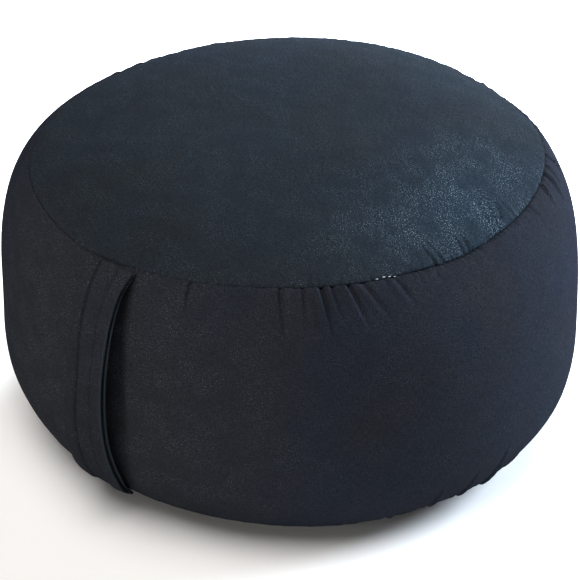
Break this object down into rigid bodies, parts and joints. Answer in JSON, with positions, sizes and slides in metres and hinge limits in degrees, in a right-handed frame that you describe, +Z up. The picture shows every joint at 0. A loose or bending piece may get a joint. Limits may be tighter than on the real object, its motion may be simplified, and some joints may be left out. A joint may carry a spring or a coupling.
{
  "type": "zafu meditation cushion",
  "caption": "Round firmly filled meditation cushion with a domed top, a bulging side band and a vertical cloth carry strap.",
  "frame": {"origin": "centre of the flat underside, on the floor", "axes": "+Z up through the middle of the top panel; the carry strap faces -Y"},
  "size_m": [0.3382, 0.3342, 0.177],
  "materials": {
    "band_cloth": "matte midnight-navy plain-weave cotton, charcoal in the shade",
    "top_cloth": "matte midnight-navy plain-weave cotton with a faint blue sheen",
    "bottom_cloth": "matte midnight-navy plain-weave cotton",
    "strap_cloth": "matte midnight-navy plain-weave cotton, two layers"
  },
  "bodies": {
    "root": {"side_band": "band_cloth", "top_panel": "top_cloth", "bottom_panel": "bottom_cloth", "carry_strap": "strap_cloth"}
  },
  "joints": []
}
